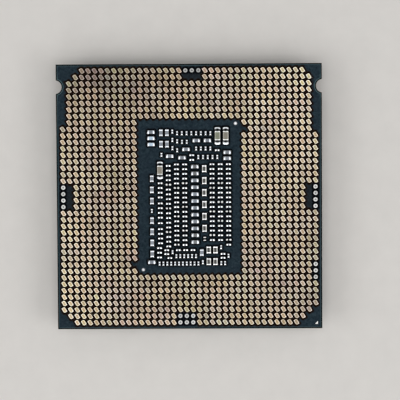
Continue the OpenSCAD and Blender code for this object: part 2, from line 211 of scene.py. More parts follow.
def blend(paint, factor, first, second, mode="MIX"):
    """Mix of two colours, each a colour or an output."""
    made = node(paint, "ShaderNodeMix", data_type="RGBA", blend_type=mode)
    for number, given in ((0, factor), (6, first), (7, second)):
        wire(paint, given, made.inputs[number])
    return made.outputs[2]


def tint_of(paint):
    """The tint that the mesh carries."""
    return node(paint, "ShaderNodeAttribute", attribute_name="tint").outputs["Color"]


def bump(paint, shader, height, strength, distance_mm=0.01):
    """Fine relief on the shader's normal."""
    made = node(paint, "ShaderNodeBump", Strength=strength, Distance=distance_mm * MM)
    wire(paint, height, made.inputs["Height"])
    wire(paint, made.outputs["Normal"], shader.inputs["Normal"])


def shaded(paint, shader, colour, noise, spread):
    """Sends colour to the shader, made darker and lighter by noise."""
    level = span(paint, noise, *NOISE_SPAN, *spread)
    wire(paint, blend(paint, 1.0, colour, level, "MULTIPLY"), shader.inputs["Base Color"])


def roughened(paint, shader, roughness, noise, spread):
    """Sends roughness to the shader, made less and more by noise."""
    low, high = roughness + spread[0], roughness + spread[1]
    wire(paint, span(paint, noise, *NOISE_SPAN, low, high), shader.inputs["Roughness"])


def tinted_paint(name, roughness, metallic, grain_mm, relief, spread):
    """Paint whose colour comes from the piece's tint, broken up by fine grain."""
    paint, shader = new_paint(name, [0.5, 0.5, 0.5, 1], roughness, metallic)
    noise = grain(paint, grain_mm)
    shaded(paint, shader, tint_of(paint), noise, spread)
    roughened(paint, shader, roughness, noise, spread=(-0.06, 0.08))
    bump(paint, shader, noise, relief)
    return paint


def metal_paint(name, colour, roughness, grain_mm, relief, stretch):
    """Plated metal with cloudy colour and fine relief."""
    paint, shader = new_paint(name, colour, roughness, metallic=0.9)
    noise = grain(paint, grain_mm, 4.0, 0.6, stretch)
    cloud = grain(paint, size_mm=14 * grain_mm)
    dull = [0.93 * c for c in colour[:3]] + [1.0]
    tone = blend(paint, span(paint, cloud, *NOISE_SPAN, 0, 1), dull, colour)
    shaded(paint, shader, tone, noise, spread=(0.93, 1.05))
    roughened(paint, shader, roughness, noise, spread=(-0.05, 0.09))
    bump(paint, shader, noise, relief)
    return paint


def plain_paint(name, colour, roughness, grain_mm, relief, specular, spread):
    """Resin, ink, silicon or floor with fine grain."""
    paint, shader = new_paint(name, colour, roughness, 0.0, specular)
    noise = grain(paint, grain_mm, 4.0)
    shaded(paint, shader, colour, noise, spread)
    bump(paint, shader, noise, relief, distance_mm=0.02)
    return paint


# Tones of the solder mask: dark and pale speckles, clouds, painted shade near lands and chips, and the
# border's line
SPECKLE_TONES = (linear(11, 26, 34), linear(48, 62, 70))
CLOUD_TONE = linear(31, 41, 51)
SHADE_BETWEEN_LANDS = linear(25, 13, 4)
SHADE_BESIDE_LANDS = linear(6, 1, 0)
SHADE_BESIDE_CHIPS = linear(0, 2, 5)
BORDER_LINE = linear(82, 106, 110)
# Tones of the bare border outside the mask and of the resin between fibres
BARE_BORDER = linear(6, 11, 13)
RESIN = linear(30, 40, 40)
# Layers seen on the laminate's sides, from its bottom at 0 to its border at 1
LAYERS = [
    (0.00, linear(24, 36, 40)), (0.13, linear(40, 52, 50)), (0.16, linear(96, 98, 72)),
    (0.50, linear(88, 92, 70)),
    (0.84, linear(98, 98, 74)), (0.87, linear(40, 52, 50)), (1.00, linear(22, 32, 36)),
]
# Depth of the bare border below the mask, and the depths between which one finish gives way to the next
BORDER_DEPTH = 0.03 * MM
FINISH_NEAR, FINISH_FAR = 0.002 * MM, 0.004 * MM


def mask_paint():
    """Solder mask on the top and bottom, bare laminate round it and in layers down the sides."""
    paint, shader = new_paint("laminate", [0.01, 0.015, 0.02, 1], roughness=0.42, specular=0.015)
    speckle = grain(paint, size_mm=0.3, roughness=0.7)
    cloud = grain(paint, size_mm=1.1, detail=2.0)
    open_mask = blend(paint, span(paint, speckle, 0.3, 0.72, 0, 1), *SPECKLE_TONES)
    open_mask = blend(paint, span(paint, cloud, 0.35, 0.65, 0, 0.5), open_mask, CLOUD_TONE)
    # The tint's red tells how near lands are, its green the border and its blue chips and test pads
    tint = node(paint, "ShaderNodeSeparateColor")
    wire(paint, tint_of(paint), tint.inputs[0])
    # Painted shade darkens the mask between and beside lands, and beside chips and test pads
    mask = blend(paint, span(paint, tint.outputs["Red"], 0, 0.5, 0, 1), open_mask, SHADE_BETWEEN_LANDS)
    mask = blend(paint, span(paint, tint.outputs["Red"], 0.5, 1, 0, 1), mask, SHADE_BESIDE_LANDS)
    mask = blend(paint, tint.outputs["Blue"], mask, SHADE_BESIDE_CHIPS)
    mask = blend(paint, tint.outputs["Green"], mask, BORDER_LINE)

    place = node(paint, "ShaderNodeTexCoord")
    parts = node(paint, "ShaderNodeSeparateXYZ")
    wire(paint, place.outputs["Object"], parts.inputs[0])
    height = parts.outputs["Z"]
    layers = node(paint, "ShaderNodeValToRGB")
    while len(layers.color_ramp.elements) < len(LAYERS):
        layers.color_ramp.elements.new(0.5)
    for stop, (at, colour) in zip(layers.color_ramp.elements, LAYERS):
        stop.position = at
        stop.color = colour
    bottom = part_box("package_substrate")[0].z
    border = MASK_Z - BORDER_DEPTH
    wire(paint, span(paint, height, bottom, border, 0, 1), layers.inputs[0])
    fibres = grain(paint, size_mm=0.05, detail=2.0, roughness=0.5, stretch=(1, 1, 0.25))
    laminate = blend(paint, span(paint, fibres, 0.35, 0.65, 0, 0.45), layers.outputs[0], RESIN)
    on_border = span(paint, height, border - FINISH_FAR, border - FINISH_NEAR, 0, 1)
    on_top = span(paint, height, MASK_Z - FINISH_FAR, MASK_Z - FINISH_NEAR, 0, 1)
    under = span(paint, height, bottom + FINISH_NEAR, bottom + FINISH_FAR, 1, 0)
    colour = blend(paint, on_border, laminate, BARE_BORDER)
    colour = blend(paint, on_top, colour, mask)
    colour = blend(paint, under, colour, open_mask)
    wire(paint, colour, shader.inputs["Base Color"])
    bump(paint, shader, speckle, strength=0.12)
    return paint


# Tinted paints: roughness, metallic, grain in mm, relief, and darkest and lightest grain
TINTED = {
    "land_gold": (0.5, 1.0, 0.09, 0.12, (0.9, 1.08)),
    "pad_tin": (0.5, 1.0, 0.07, 0.15, (0.9, 1.08)),
    "terminal_tin": (0.24, 1.0, 0.06, 0.1, (0.92, 1.06)),
    "solder": (0.32, 1.0, 0.08, 0.15, (0.92, 1.06)),
    "ceramic": (0.4, 0.0, 0.05, 0.2, (0.82, 1.16)),
}
# Plated metals: colour, roughness, grain in mm, relief, and stretch of the grain
METALS = {
    "nickel_plate": (linear(203, 200, 193), 0.38, 0.06, 0.14, (1, 0.35, 1)),
    "mark_gold": (linear(205, 176, 120), 0.34, 0.07, 0.14, (1, 1, 1)),
}
# Other paints: colour, roughness, grain in mm, relief, specular level, and darkest and lightest grain
PLAIN = {
    "black_sealant": (linear(26, 26, 27), 0.55, 0.12, 0.4, 0.5, (0.82, 1.12)),
    "thermal_compound": (linear(150, 152, 155), 0.5, 0.2, 0.4, 0.5, (0.82, 1.12)),
    "silicon": (linear(84, 88, 98), 0.12, 0.5, 0.02, 0.8, (0.82, 1.12)),
    "underfill_resin": (linear(52, 46, 40), 0.3, 0.15, 0.2, 0.5, (0.82, 1.12)),
    "white_ink": (linear(250, 250, 247), 0.6, 0.05, 0.3, 0.5, (0.94, 1.02)),
    "pale_floor": (linear(213, 210, 206), 0.8, 3.0, 0.0, 0.1, (0.98, 1.02)),
}
PAINT = {"laminate": mask_paint()}
for make, table in ((tinted_paint, TINTED), (metal_paint, METALS), (plain_paint, PLAIN)):
    for name, values in table.items():
        PAINT[name] = make(name, *values)


# Lands and round pads

# Points round each corner of a land or pad, and the least radius of an inner ring's corner
CORNER_STEPS = 6
LEAST_RADIUS = 0.015 * MM


def outline(length, width, radii):
    """Points round a rectangle centred on the origin, whose corners have the two radii in turn."""
    points = []
    corners = ((1, 1, 0), (-1, 1, 90), (-1, -1, 180), (1, -1, 270))
    for number, (sx, sy, start) in enumerate(corners):
        radius = radii[number % 2]
        for k in range(CORNER_STEPS):
            turn = math.radians(start + 90 * k / (CORNER_STEPS - 1))
            x = sx * (length / 2 - radius) + radius * math.cos(turn)
            y = sy * (width / 2 - radius) + radius * math.sin(turn)
            points.append((x, y))
    return np.array(points)


def ring_faces(count, n):
    """Faces that close a stack of count rings of n points each."""
    faces = []
    for r in range(count - 1):
        for k in range(n):
            after = (k + 1) % n
            faces.append((r * n + k, r * n + after, (r + 1) * n + after, (r + 1) * n + k))
    return faces + [tuple(range((count - 1) * n, count * n)), tuple(reversed(range(n)))]


def ringed(length, width, radii, rings):
    """A closed form of rings given as (inset, height): vertices, faces and each vertex's ring."""
    verts, ring_of = [], []
    for number, (inset, height) in enumerate(rings):
        corners = [max(radius - inset, LEAST_RADIUS) for radius in radii]
        flat = outline(length - 2 * inset, width - 2 * inset, corners)
        verts.append(np.column_stack([flat, np.full(len(flat), height)]))
        ring_of += [number] * len(flat)
    return np.concatenate(verts), ring_faces(len(rings), 4 * CORNER_STEPS), np.array(ring_of)


# Shares of fine and of wide changes in a mottled value
FINE_SHARE, WIDE_SHARE = 0.56, 0.83


def mottled(seed):
    """A random value for each cell of the grid, of unit spread, about half alike in neighbouring cells."""
    rng = np.random.default_rng(seed)
    fine = rng.normal(size=(GRID, GRID))
    cells = rng.normal(size=(GRID + 2, GRID + 2))
    wide = sum(cells[i:i + GRID, j:j + GRID] for i in range(3) for j in range(3)) / 3
    return FINE_SHARE * fine + WIDE_SHARE * wide


def cells_of(points):
    """Column and row of each point on the land grid."""
    column = np.rint((points[:, 0] + FIELD_HALF) / PITCH).astype(int)
    row = np.rint((FIELD_HALF + FIELD_Y - points[:, 1]) / PITCH).astype(int)
    return column, row


# Tones of a land's middle, its rim with a painted highlight, its edge with painted dark shade, and the
# shoulder between edge and rim with painted brown shade
LAND_CORE = np.array([146, 131, 107])
LAND_RIM_HIGHLIGHT = np.array([244, 234, 218])
LAND_EDGE_SHADE = np.array([10, 5, 2])
LAND_SHOULDER_SHADE = np.array([92, 54, 14])
# What one unit of warmth and one of pinkness add to a tone
WARM = np.array([2.2, 0.3, -3.1])
PINK = np.array([1.2, -1.9, 0.7])
# Share of a land's own hue that its rim shows
RIM_HUE = 0.6
# Gain of the rim's painted highlight in red, green and blue at the sharper corners, and its loss at the
# rounder ones
RIM_HIGHLIGHT_GAIN = np.array([0.1, 0.13, 0.22])
# Painted sheen that drifts in brightness over the field: gain for each power of the place in X and in Y,
# which run from -1 to 1
SHEEN_DRIFT = {
    (1, 0): 0.07, (0, 1): 0.03, (2, 0): 0.1, (1, 1): 0.13, (0, 2): -0.01,
    (1, 2): 0.09, (2, 1): -0.02, (3, 0): -0.13, (0, 3): -0.07,
}
# Change of brightness from land to land, and gains of warmth at two opposite corners, with the painted sheen,
# and towards the far side
LAND_SPREAD = 0.04
CORNER_WARMTH = 0.5
FAR_WARMTH = 0.6
brightness, warmth, pinkness = (mottled(seed) for seed in (11, 12, 13))


def land_colours(centres):
    """sRGB core and rim colours of lands: gold that differs from land to land, under a painted sheen that
    drifts over the field.
    """
    u, v = centres[:, 0] / FIELD_HALF, (centres[:, 1] - FIELD_Y) / FIELD_HALF
    sheen = 1 + sum(gain * u ** p * v ** q for (p, q), gain in SHEEN_DRIFT.items())
    column, row = cells_of(centres)
    level = (sheen + LAND_SPREAD * brightness[row, column])[:, None]
    warm = warmth[row, column] + CORNER_WARMTH * u * v + FAR_WARMTH * v * (1 - v * v)
    hue = warm[:, None] * WARM + pinkness[row, column][:, None] * PINK
    return level * LAND_CORE + hue, level * LAND_RIM_HIGHLIGHT + RIM_HUE * hue


# Inset and height in mm of each ring of a land, from the mask up to the rim and down to the dished middle
LAND_RINGS_MM = [
    (0, 0), (0, 0.014), (0.022, 0.022), (0.048, 0.028), (0.062, 0.03), (0.09, 0.0295), (0.135, 0.025),
]
# How much of the painted edge shade, the painted shoulder shade and the painted rim highlight each ring has
EDGE_SHARE = np.array([1.0, 1.0, 0.85, 0.0, 0.0, 0.0, 0.0])
SHOULDER_SHARE = np.array([0.0, 0.0, 0.15, 1.0, 0.0, 0.0, 0.0])
RIM_SHARE = np.array([0.0, 0.0, 0.0, 0.0, 1.0, 0.7, 0.0])
LAND_LENGTH, LAND_WIDTH, LAND_TILT = 0.84 * MM, 0.58 * MM, math.radians(-59)
# Radii of the land's sharper corners and of its rounder ones
LAND_RADII = (0.11 * MM, 0.25 * MM)
# Which cells of the grid hold a land
land_flags = np.zeros((GRID, GRID))


def land_fields():
    """Dished lands, each in its own gold with a painted rim highlight and painted edge shade, in place of the
    plates of the four CAD nodes.
    """
    rings = np.array(LAND_RINGS_MM) * MM
    level, faces, ring_of = ringed(LAND_LENGTH, LAND_WIDTH, LAND_RADII, rings)
    # Above 0 towards the sharper corners, where the painted rim highlight is brightest, and below 0 towards
    # the rounder ones
    sharper = 4 * level[:, 0] * level[:, 1] / (LAND_LENGTH * LAND_WIDTH)
    c, s = math.cos(LAND_TILT), math.sin(LAND_TILT)
    verts = level @ np.array([[c, s, 0], [-s, c, 0], [0, 0, 1]])
    edge, shoulder, rim = (share[ring_of][:, None] for share in (EDGE_SHARE, SHOULDER_SHARE, RIM_SHARE))
    for side in ("north", "south", "west", "east"):
        cad_node = "contact_lands_" + side
        centres = islands(cad_node).mean(1)
        column, row = cells_of(centres)
        land_flags[row, column] = 1
        shapes = []
        for centre, core, rim_tone in zip(centres, *land_colours(centres)):
            rim_colour = (1 + np.outer(sharper, RIM_HIGHLIGHT_GAIN)) * rim_tone
            tints = core * (1 - edge - shoulder - rim) + rim_colour * rim
            tints += LAND_EDGE_SHADE * edge + LAND_SHOULDER_SHADE * shoulder
            shapes.append((verts + (centre[0], centre[1], MASK_Z), faces, linear_array(tints)))
        add_piece("land_field_" + side, shapes, "land_gold", cad_node)


land_fields()

# Insets in mm of a round pad's rings
PAD_INSETS_MM = (0, 0, 0.015, 0.035, 0.055, 0.12, 0.19)
# Y beyond which a pad is a far one
FAR_PADS = 7 * MM


def round_pads(name, cad_node, heights_mm, tones, colour, far_share):
    """Low round pads with a soft dark edge of painted shade in place of a CAD node's discs.

    Each ring has its height and its share of the colour. far_share is the share that far pads have in all.
    """
    rings = np.column_stack([PAD_INSETS_MM, heights_mm]) * MM
    shapes = []
    rng = np.random.default_rng(21)
    for low, high in islands(cad_node):
        across = high[0] - low[0]
        # Just short of a full circle, so that no two points of a ring meet
        radius = across / 2 - 0.001 * MM
        verts, faces, ring_of = ringed(across, across, (radius, radius), rings)
        level = (far_share if low[1] > FAR_PADS else 1.0) + 0.025 * rng.normal()
        ring_tones = np.outer(tones, colour) * level
        shapes.append((verts + footing(low, high), faces, linear_array(ring_tones[ring_of])))
    add_piece(name, shapes, "pad_tin", cad_node)


# A test pad is dished and dull in its middle, and painted shade darkens its edge
round_pads(
    "round_test_pads", "test_pads", colour=[206, 206, 205], far_share=0.84,
    heights_mm=(0, 0.016, 0.025, 0.03, 0.03, 0.0285, 0.026), tones=(0.1, 0.15, 0.3, 0.8, 1.0, 0.97, 0.62),
)
# An alignment dot is flat and brightest in its middle, and painted shade darkens its edge
round_pads(
    "alignment_dots", "fiducial_marks", colour=[180, 182, 186], far_share=1.06,
    heights_mm=(0, 0.01, 0.016, 0.019, 0.02, 0.02, 0.02), tones=(0.1, 0.15, 0.35, 0.75, 0.85, 0.95, 1.12),
)


# Capacitors

def facing(middle, others):
    """Axis and sign of the way from the nearest of the others to middle."""
    away = middle - others[np.argmin(((others - middle)[:, :2] ** 2).sum(1))]
    along = 0 if abs(away[0]) > abs(away[1]) else 1
    return along, 1 if away[along] > 0 else -1


def set_facing(verts, along, sign, place):
    """verts, made along +X, turned to run from place along the axis in the sign's direction."""
    turned = verts + place
    turned[:, along] = place[along] + sign * verts[:, 0]
    turned[:, 1 - along] = place[1 - along] + (sign if along == 0 else -sign) * verts[:, 1]
    return turned


# Angles round a bar's long edges, places across its top from edge to middle, and the number of its sections
EDGE_ANGLES = (0, 30, 60, 90)
TOP_SHARES = (0.9, 0.75, 0.5, 0.25, 0.0)
BAR_SECTIONS = 9


def ceramic_bar(length, width, height, radius):
    """A bar along X with rounded long edges: vertices, faces and each vertex's place.

    A place is along and across, from -1 to 1, and the depth below the bar's top, in edge radii.
    """
    half = width / 2
    side = [(half, 0.0)]
    for angle in EDGE_ANGLES:
        a = math.radians(angle)
        side.append((half - radius + radius * math.cos(a), height - radius + radius * math.sin(a)))
    side += [((half - radius) * share, height) for share in TOP_SHARES]
    section = np.array(side + [(-y, z) for y, z in reversed(side[:-1])])
    stations = np.linspace(-1, 1, BAR_SECTIONS)
    verts = np.array([(u * length / 2, y, z) for u in stations for y, z in section])
    places = np.array([(u, y / half, (height - z) / radius) for u in stations for y, z in section])
    return verts, ring_faces(len(stations), len(section)), places


# Tone that a bar's ceramic takes where its painted edge highlight is full
CERAMIC_HIGHLIGHT = np.array([238, 238, 233])
# Depths below a bar's top, in edge radii, and how dark the painted shade on its sides makes the ceramic there
CERAMIC_SIDE_SHADE = ([0.0, 0.2, 1.0, 3.0], [0.0, 0.9, 0.9, 0.4])


def ceramic_piece(name, cad_node, terminals_node, slot, tone_of, shade, radius_mm):
    """Ceramic bars in place of a CAD node's boxes.

    shade gives how pale a painted highlight makes a bar on an axis at a place on it, and below 0 how much
    painted shade makes it darker than its tone.
    """
    terminals = islands(terminals_node).mean(1)
    shapes = []
    for low, high in islands(cad_node):
        place, size = footing(low, high), high - low
        along = facing(place, terminals)[0]
        verts, faces, places = ceramic_bar(size[along], size[1 - along], size[2], radius_mm * MM)
        pale = shade(along, places[:, 0], places[:, 1])[:, None]
        # Painted shade darkens the ceramic down its rounded sides
        dark = np.interp(places[:, 2:], *CERAMIC_SIDE_SHADE)
        tone = (tone_of(place) * (1 - pale) + CERAMIC_HIGHLIGHT * pale) * (1 - dark)
        shapes.append((set_facing(verts, along, 1, place), faces, linear_array(tone)))
    add_piece(name, shapes, "ceramic", cad_node)


# Angles round an end cap's top edge, points round a corner, and the most of its width and length in its frame
CAP_ANGLES = (30, 60, 90)
CAP_STEPS = 5
MOST_WIDTH, MOST_LENGTH = 0.4, 0.6


def end_cap(length, width, height, radius, corner, frame_width):
    """A terminal along X from its inner end at x = 0: vertices, faces, and vertices' rings and outward turns.

    radius rounds the top's edge, corner the two outer corners as seen from above, and frame_width is that of
    the flat strip inside the edge. An outward turn is 0 on the sides, 1 on the outer end and 2 in its middle.
    """
    rings = [(radius / 2, 0), (0, radius / 2), (0, height - radius)]
    for angle in CAP_ANGLES:
        a = math.radians(angle)
        rings.append((radius * (1 - math.cos(a)), height - radius + radius * math.sin(a)))
    rings.append((min(MOST_WIDTH * width, MOST_LENGTH * length, radius + frame_width), height))
    turns = [math.radians(90 * k / (CAP_STEPS - 1)) for k in range(CAP_STEPS)]
    verts, ring_of = [], []
    for number, (inset, z) in enumerate(rings):
        reach, half = length - inset, width / 2 - inset
        bend = max(corner - inset, LEAST_RADIUS)
        near = [(reach - bend + bend * math.sin(t), -half + bend - bend * math.cos(t), z) for t in turns]
        far = [(x, -y, z) for x, y, z in reversed(near)]
        ring = [(0, -half, z)] + near + [(reach, 0, z)] + far + [(0, half, z)]
        verts += ring
        ring_of += [number] * len(ring)
    outward = [0] + [math.sin(t) ** 2 for t in turns]
    outward = outward + [2] + outward[::-1]
    faces = ring_faces(len(rings), len(outward))
    return np.array(verts), faces, np.array(ring_of), np.tile(outward, len(rings))


# Share of a terminal's tone on its rings, from the bed up: a large one's sides, a small one's, and outer ends
# Low shares down the sides are painted shade, and the high shares on the outer ends a painted highlight
FLANK_SHARE = np.array([0.6, 0.6, 0.3, 0.2, 0.5, 0.95, 1.0])
SMALL_FLANK_SHARE = np.array([0.6, 0.6, 0.25, 0.15, 0.2, 0.35, 1.0])
END_SHARE = np.array([0.3, 0.5, 0.75, 0.95, 1.0, 1.0, 1.0])


def corner_shade(verts, size, sign, loss):
    """Shade of an end cap along X: 1, less by the loss on its far side, and least at its far corner."""
    corner_loss = 0.8
    outward = ramp(verts[:, 0] / size[0], 1 / 6, 1)
    far = ramp(sign * verts[:, 1] / (size[1] / 2), 2 / 15, 0.8)
    return 1 - far * (loss + (corner_loss - loss) * outward)


def terminal_piece(name, bodies_node, cad_node, shape, edge_tone, middle_tone, flank_share, changes):
    """Rounded end caps in place of a CAD node's boxes, with painted shade that leaves them dark down the
    sides and lighter on top.

    changes are painted shade: how much darker the far side is along X, then, for capacitors along Y, the
    share of the tone that terminals have, and how much darker the near end's middle, the far end's middle and
    the far end are.
    """
    side_loss, whole, near_dip, far_dip, far_loss = changes
    bodies = islands(bodies_node).mean(1)
    rng = np.random.default_rng(36)
    shapes = []
    for low, high in islands(cad_node):
        place, size = footing(low, high), high - low
        along, sign = facing(place, bodies)
        verts, faces, ring_of, outward = end_cap(size[along], size[1 - along], size[2], *shape)
        at_end = np.minimum(outward, 1)
        share = flank_share[ring_of]
        if along == 0:
            share = share + (END_SHARE[ring_of] - share) * at_end
            share = share * corner_shade(verts, size, sign, side_loss)
        else:
            dip, loss = (near_dip, 0.0) if sign < 0 else (far_dip, far_loss)
            share = whole * share * (1 - dip * (outward == 2)) * (1 - loss * at_end)
        tones = np.where((ring_of == ring_of.max())[:, None], middle_tone, edge_tone)
        tones = tones * (1 + 0.04 * rng.normal())
        place[along] = (low if sign > 0 else high)[along]
        shapes.append((set_facing(verts, along, sign, place), faces, linear_array(tones * share[:, None])))
    add_piece(name, shapes, "terminal_tin", cad_node)


# A fillet's points across and down, its bed's thickness, the share of it left at the toe, how far the toe's
# ends draw back, how much it narrows, and how much lower its sides are
FILLET_ACROSS, FILLET_DOWN = 9, 8
BED = 0.03 * MM
TOE_SHARE = 0.2
TOE_ROUNDING = 0.15
TOE_NARROWING = 0.06
SIDE_DROP = 0.7


def fillet(under, toe, width, rise, hollow):
    """Solder along X: a thin bed under a terminal that ends at x = 0, and a slope out to the toe.

    hollow gives how steeply the slope starts in the middle and at both sides. Each vertex has its spot: the
    way down the slope, from 0 to 1 and -1 on the bed, and the way across it, from -1 to 1.
    """
    across = np.linspace(-1, 1, FILLET_ACROSS)
    steps = np.linspace(0, 1, FILLET_DOWN)
    rows = [[(-under, v, BED) for v in across], [(0.0, v, BED) for v in across]]
    for u in steps:
        row = []
        for v in across:
            aside = abs(v) ** 3
            fall = (1 - u) ** (hollow[0] + (hollow[1] - hollow[0]) * v * v)
            height = (rise - TOE_SHARE * BED) * fall * (1 - SIDE_DROP * aside) + TOE_SHARE * BED
            row.append((u * toe * (1 - TOE_ROUNDING * aside), v * (1 - TOE_NARROWING * u * u), height))
        rows.append(row)
    top = np.array(rows) * (1, width / 2, 1)
    count, n = top.shape[:2]
    base = top.copy()
    base[..., 2] = 0
    verts = np.concatenate([top.reshape(-1, 3), base.reshape(-1, 3)])
    below = count * n
    faces = []
    for i in range(count - 1):
        for j in range(n - 1):
            a, b, c, d = i * n + j, (i + 1) * n + j, (i + 1) * n + j + 1, i * n + j + 1
            faces.append((a, b, c, d))
            # The bed's last row and the slope's first lie at one place below, where no face is needed
            if i != 1:
                faces.append((below + d, below + c, below + b, below + a))
    rim = [i * n for i in range(count)] + [(count - 1) * n + j for j in range(1, n)]
    rim += [i * n + n - 1 for i in range(count - 2, -1, -1)] + list(range(n - 2, 0, -1))
    for a, b in zip(rim, rim[1:] + rim[:1]):
        faces.append((b, a, below + a, below + b))
    spots = np.array([(u, v) for u in (-1, -1, *steps) for v in across])
    return verts, faces, np.concatenate([spots, spots])


def long_glint(spots, along, sign):
    """Painted glint and shade on a long slope of solder, as a share of its tone: dark against the terminal,
    and duller at a far end.
    """
    down, across = spots.T
    least, most = 0.12, 0.88
    rise = 0.2 + (down - 0.42 + 0.36 * across ** 2) / 0.13
    side_fade = most - (np.abs(across) - 0.85) / 0.35
    far_fade = 1.0 - (down - 0.7) / 0.2 if sign > 0 else most
    return np.clip(np.minimum(np.minimum(rise, side_fade), far_fade), least, most)


def short_glint(low, high, start):
    """A call that gives the share of the solder's tone, a painted glint and shade, on a short slope. Its near
    corners carry the painted glint.

    A slope along X has the low share, a painted shade, at its far side, and rises to the high one from start
    on across it.
    """

    def share_of(spots, along, sign):
        down, across = spots.T
        # The bed under the terminal takes painted shade
        bed, least = 0.2, 0.1
        if along == 0:
            share = low + (high - low) * np.clip(start - sign * across, 0, 1)
        else:
            share = ramp(np.abs(across), 0.45, 0.8) * (sign < 0)
        toe_fade = (1 - down) / 0.25
        return np.where(down < 0, bed, np.clip(np.minimum(share, toe_fade), least, 1))

    return share_of


SOLDER_TONE = np.array([240, 244, 248])


def solder_piece(name, bodies_node, cad_node, toe, glint, hollow):
    """Fillets in place of a CAD node's solder, each turned away from its capacitor's body.

    glint gives the share of the solder's tone, a painted glint and shade, at the spots of a fillet that faces
    one way along an axis.
    """
    bodies = islands(bodies_node).mean(1)
    rng = np.random.default_rng(31)
    shapes, made = [], {}
    for low, high in islands(cad_node):
        place, size = footing(low, high), np.round(high - low, 7)
        along, sign = facing(place, bodies)
        key = (size[along], size[1 - along], size[2])
        if key not in made:
            made[key] = fillet(key[0] - toe, toe, *key[1:], hollow)
        verts, faces, spots = made[key]
        place[along] = (high if sign > 0 else low)[along] - sign * toe
        tones = np.outer(glint(spots, along, sign), SOLDER_TONE * (1 + 0.03 * rng.normal()))
        shapes.append((set_facing(verts, along, sign, place), faces, linear_array(tones)))
    add_piece(name, shapes, "solder", cad_node)


ceramic_rng = np.random.default_rng(41)


def varied(colour, spread):
    """A call that gives colour with a small random change of brightness."""
    return lambda centre: np.array(colour) * (1 + spread * ceramic_rng.normal())


# Tones of the bulk capacitors from left to right, and the X in mm that each lies left of
BULK_TONES = [(0, [123, 116, 101]), (4.6, [111, 115, 92]), (20, [114, 109, 95])]


def bulk_tone(centre):
    """The tone of the bulk capacitor at a place."""
    return next(np.array(tone) for limit, tone in BULK_TONES if centre[0] < limit * MM)


MEDIUM_TONE = [112, 119, 129]
# Ranges in X and Y, in mm, of medium capacitors with a tone of their own: pale blue ones at the left, and
# darker ones at both ends of the middle column
MEDIUM_PAIRS = [
    ((-8, -5), (7, 8.8), [164, 184, 202]),
    ((0.71, 0.91), (2.89, 12), [98, 100, 102]),
    ((0.71, 0.91), (-12, -5.11), [98, 100, 102]),
]


def medium_tone(centre):
    """The tone of the medium capacitor at a place, with a small random change."""
    x, y = centre[:2] / MM
    tone = MEDIUM_TONE
    for (left, right), (near, far), own in MEDIUM_PAIRS:
        if left < x < right and near < y < far:
            tone = own
    return varied(tone, 0.06)(centre)


# Share of a bar's half width from which the painted highlight on its long edges is palest
PALEST = 0.95


def highlighted_edges(start, gains):
    """A painted highlight that makes long edges paler from a share of the half width outwards, by the axis's
    gain.
    """
    return lambda axis, along, across: gains[axis] * ramp(np.abs(across), start, PALEST)


def bulk_edges(axis, along, across):
    """Painted light on a long bar: a highlight that makes its edges paler, the right one most, and painted
    shade on the left one's outside.
    """
    left_pale, left_outer_shade = 0.75, -0.5
    pale = np.where(across < 0, 1.0, left_pale) * ramp(np.abs(across), 0.62, PALEST)
    return np.where(across > 0.9, left_outer_shade, pale)


def dark_core(axis, along, across):
    """A painted highlight that makes both sides of a long bar pale, the right one the wider, and leaves its
    core in its own dark tone.
    """
    core_middle, narrowing = 0.05, 0.04
    return ramp(np.abs(across - core_middle) + narrowing * along ** 4, 0.58, 0.71)


def capacitor_class(stem, group, toe_mm, cap_mm, body, ends, fillets):
    """The three pieces of one class of capacitor, or of one group of the small ones.

    toe_mm is how far solder reaches out, and cap_mm an end cap's edge radius, corner radius and frame width.
    body is the ceramic's tone, painted highlight and shade, and edge radius in mm, ends are a terminal's edge
    tone, middle tone, sides' shares of painted shade and changes, and fillets are the solder's painted glint
    and its hollow.
    """
    ending = "_" + group if group else ""
    kinds = ("bodies", "terminals", "solder")
    bodies, terminals, solder = (f"{stem}_capacitor_{kind}{ending}" for kind in kinds)
    name = f"{stem}_chip{ending}"
    ceramic_piece(f"{name}_ceramic", bodies, terminals, f"{stem}_ceramic", *body)
    terminal_piece(f"{name}_ends", bodies, terminals, [size * MM for size in cap_mm], *ends)
    solder_piece(f"{name}_fillets", bodies, solder, toe_mm * MM, *fillets)


# Hollows of a long slope and of a short one, in the middle and at the sides
LONG_HOLLOW = (3.5, 7.0)
SHORT_HOLLOW = (2.2, 2.6)
capacitor_class(
    "bulk", "", toe_mm=0.56, cap_mm=(0.07, 0.1, 0.05),
    body=(bulk_tone, bulk_edges, 0.05),
    ends=([240, 241, 241], [150, 152, 150], FLANK_SHARE, (0.0, 1.0, 0.4, 0.4, 0.0)),
    fillets=(long_glint, LONG_HOLLOW),
)
capacitor_class(
    "broad", "", toe_mm=0.07, cap_mm=(0.04, 0.05, 0.04),
    body=(varied([42, 42, 39], 0.06), dark_core, 0.045),
    ends=([252, 253, 255], [206, 207, 208], FLANK_SHARE, (0.0, 1.0, 0.9, 0.6, 0.0)),
    fillets=(short_glint(0.5, 1.0, 1.1), SHORT_HOLLOW),
)
capacitor_class(
    "medium", "", toe_mm=0.08, cap_mm=(0.06, 0.08, 0.05),
    body=(medium_tone, highlighted_edges(0.6, (0.2, 0.85)), 0.055),
    ends=([236, 240, 245], [178, 182, 188], FLANK_SHARE, (0.12, 0.97, 0.9, 0.0, 0.25)),
    fillets=(short_glint(0.6, 1.0, 1.1), SHORT_HOLLOW),
)
for group in ("upper", "west", "east", "lower"):
    capacitor_class(
        "small", group, toe_mm=0.09, cap_mm=(0.03, 0.06, 0.03),
        body=(varied([143, 149, 157], 0.1), highlighted_edges(0.75, (0.1, 0.1)), 0.065),
        ends=([247, 251, 255], [247, 251, 255], SMALL_FLANK_SHARE, (0.4, 0.81, 0.0, 0.0, 0.5)),
        fillets=(short_glint(0.18, 0.6, 0.5), SHORT_HOLLOW),
    )

DOME_TONE = np.array([252, 251, 251])


